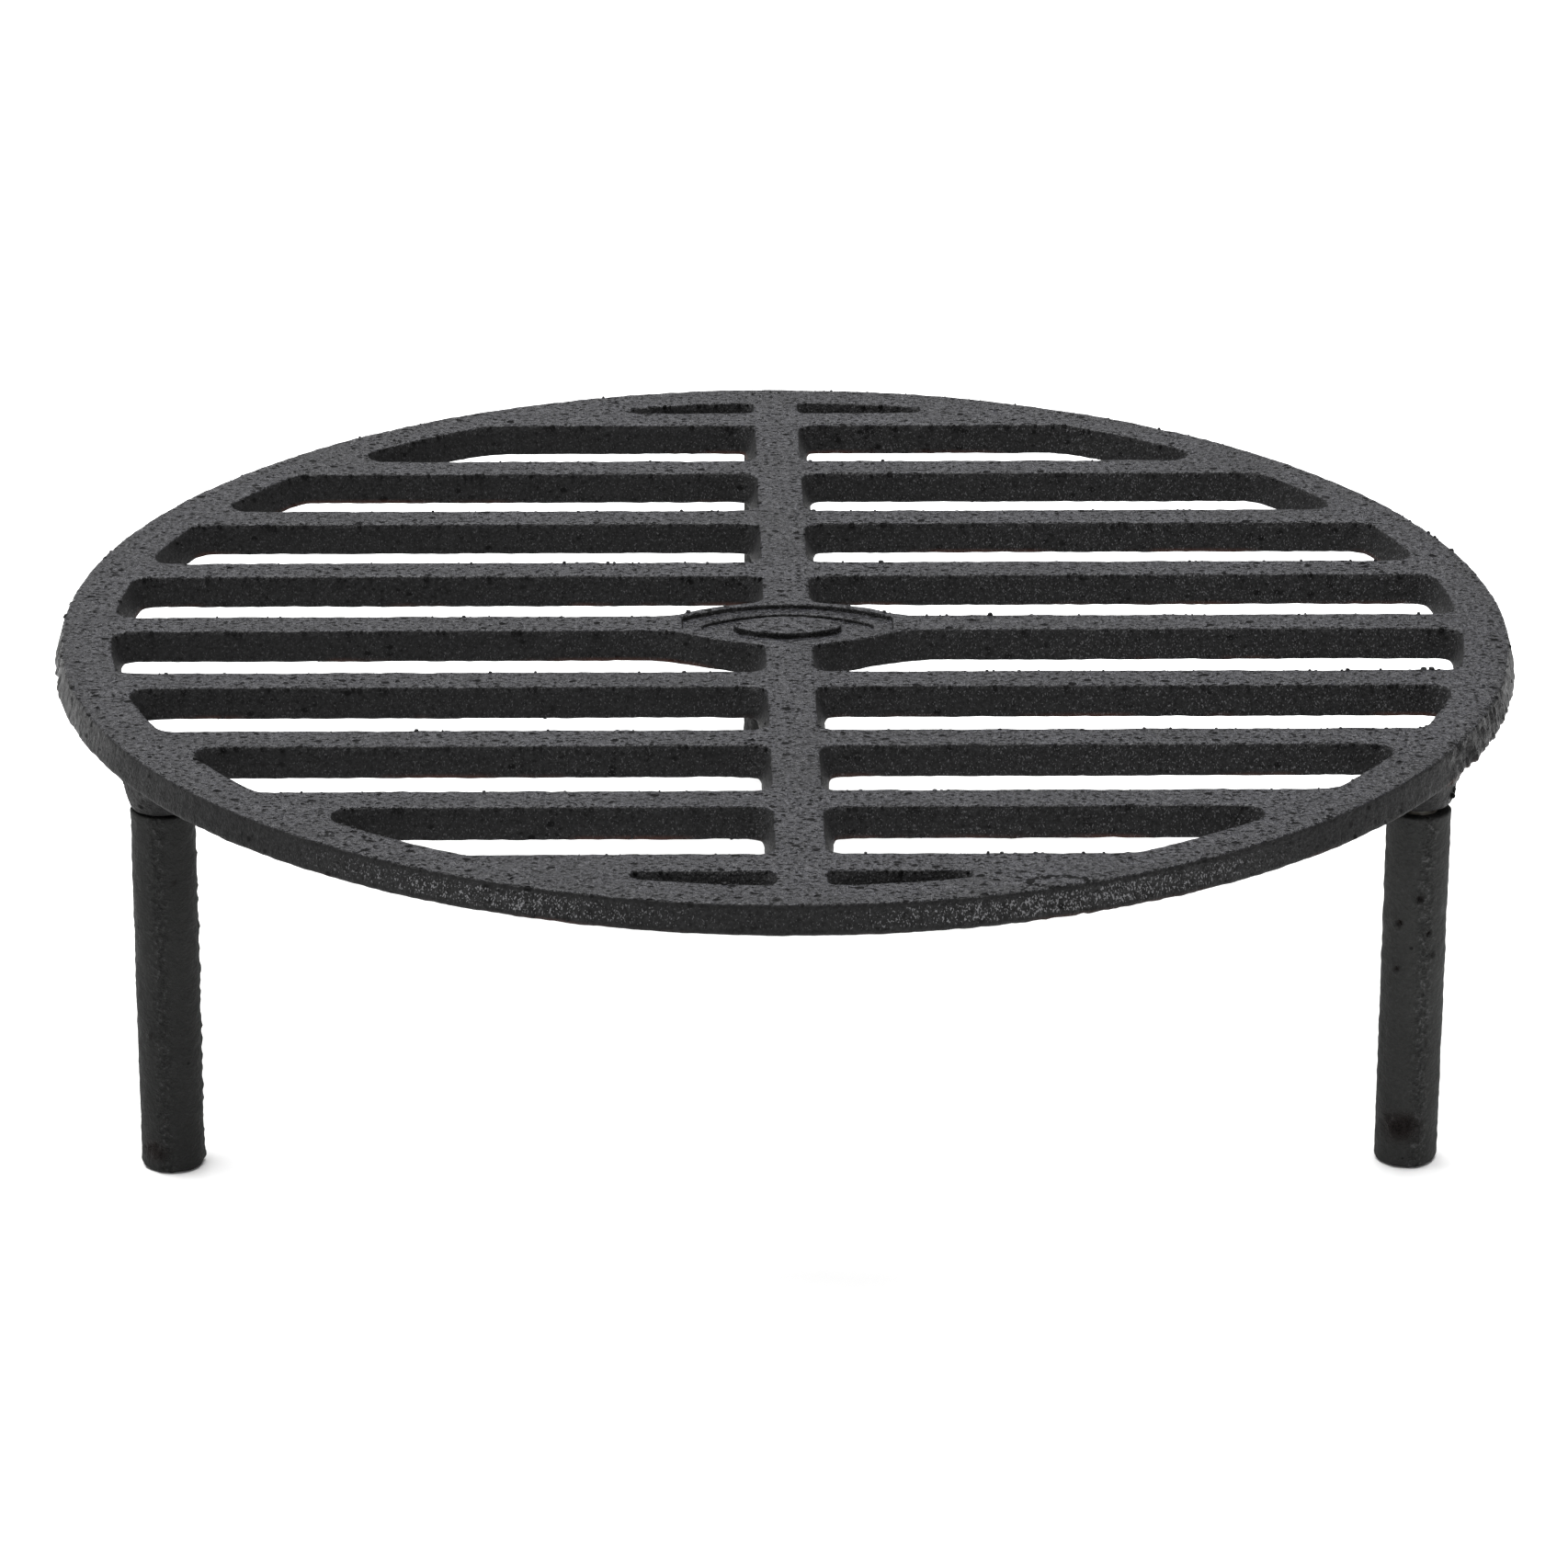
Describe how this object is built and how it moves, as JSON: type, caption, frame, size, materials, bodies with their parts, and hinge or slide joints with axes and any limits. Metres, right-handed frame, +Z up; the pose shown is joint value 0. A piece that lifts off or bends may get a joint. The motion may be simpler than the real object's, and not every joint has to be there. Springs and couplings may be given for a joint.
{
  "type": "fireplace grate",
  "caption": "Round slotted cast plate with a spine, a rim and an oval medallion, on legs that screw into bosses, to hold fuel over a hearth.",
  "frame": {"origin": "on the floor under the middle of the plate", "axes": "+Z up, +Y along the spine towards the rear leg, +X to the right"},
  "size_m": [0.4, 0.4, 0.1175],
  "materials": {
    "plate": "rough sand-cast iron under thin black paint",
    "leg": "cast iron rod under thin black paint, a little smoother than the plate",
    "stud": "plain steel stud"
  },
  "bodies": {
    "plate": {"grate_plate": "plate"},
    "stud_front_left_body": {"stud_front_left": "stud"},
    "leg_front_left_body": {"leg_front_left": "leg"},
    "stud_front_right_body": {"stud_front_right": "stud"},
    "leg_front_right_body": {"leg_front_right": "leg"},
    "stud_rear_body": {"stud_rear": "stud"},
    "leg_rear_body": {"leg_rear": "leg"}
  },
  "joints": [
    {"name": "leg_front_left_lower", "type": "slide", "parent": "plate", "child": "stud_front_left_body", "axis": [0, 0, -1], "range_m": [0, 0.01125]},
    {"name": "leg_front_left_unscrew", "type": "hinge", "parent": "stud_front_left_body", "child": "leg_front_left_body", "pos_m": [-0.16541, -0.0955, 0.1], "axis": [0, 0, -1], "range_deg": [0, 2700]},
    {"name": "leg_front_right_lower", "type": "slide", "parent": "plate", "child": "stud_front_right_body", "axis": [0, 0, -1], "range_m": [0, 0.01125]},
    {"name": "leg_front_right_unscrew", "type": "hinge", "parent": "stud_front_right_body", "child": "leg_front_right_body", "pos_m": [0.16541, -0.0955, 0.1], "axis": [0, 0, -1], "range_deg": [0, 2700]},
    {"name": "leg_rear_lower", "type": "slide", "parent": "plate", "child": "stud_rear_body", "axis": [0, 0, -1], "range_m": [0, 0.01125]},
    {"name": "leg_rear_unscrew", "type": "hinge", "parent": "stud_rear_body", "child": "leg_rear_body", "pos_m": [0, 0.191, 0.1], "axis": [0, 0, -1], "range_deg": [0, 2700]}
  ],
  "couplings": [
    {"joint": "leg_front_left_unscrew", "follows": "leg_front_left_lower", "rad_per_m": 4188.8},
    {"joint": "leg_front_right_unscrew", "follows": "leg_front_right_lower", "rad_per_m": 4188.8},
    {"joint": "leg_rear_unscrew", "follows": "leg_rear_lower", "rad_per_m": 4188.8}
  ]
}
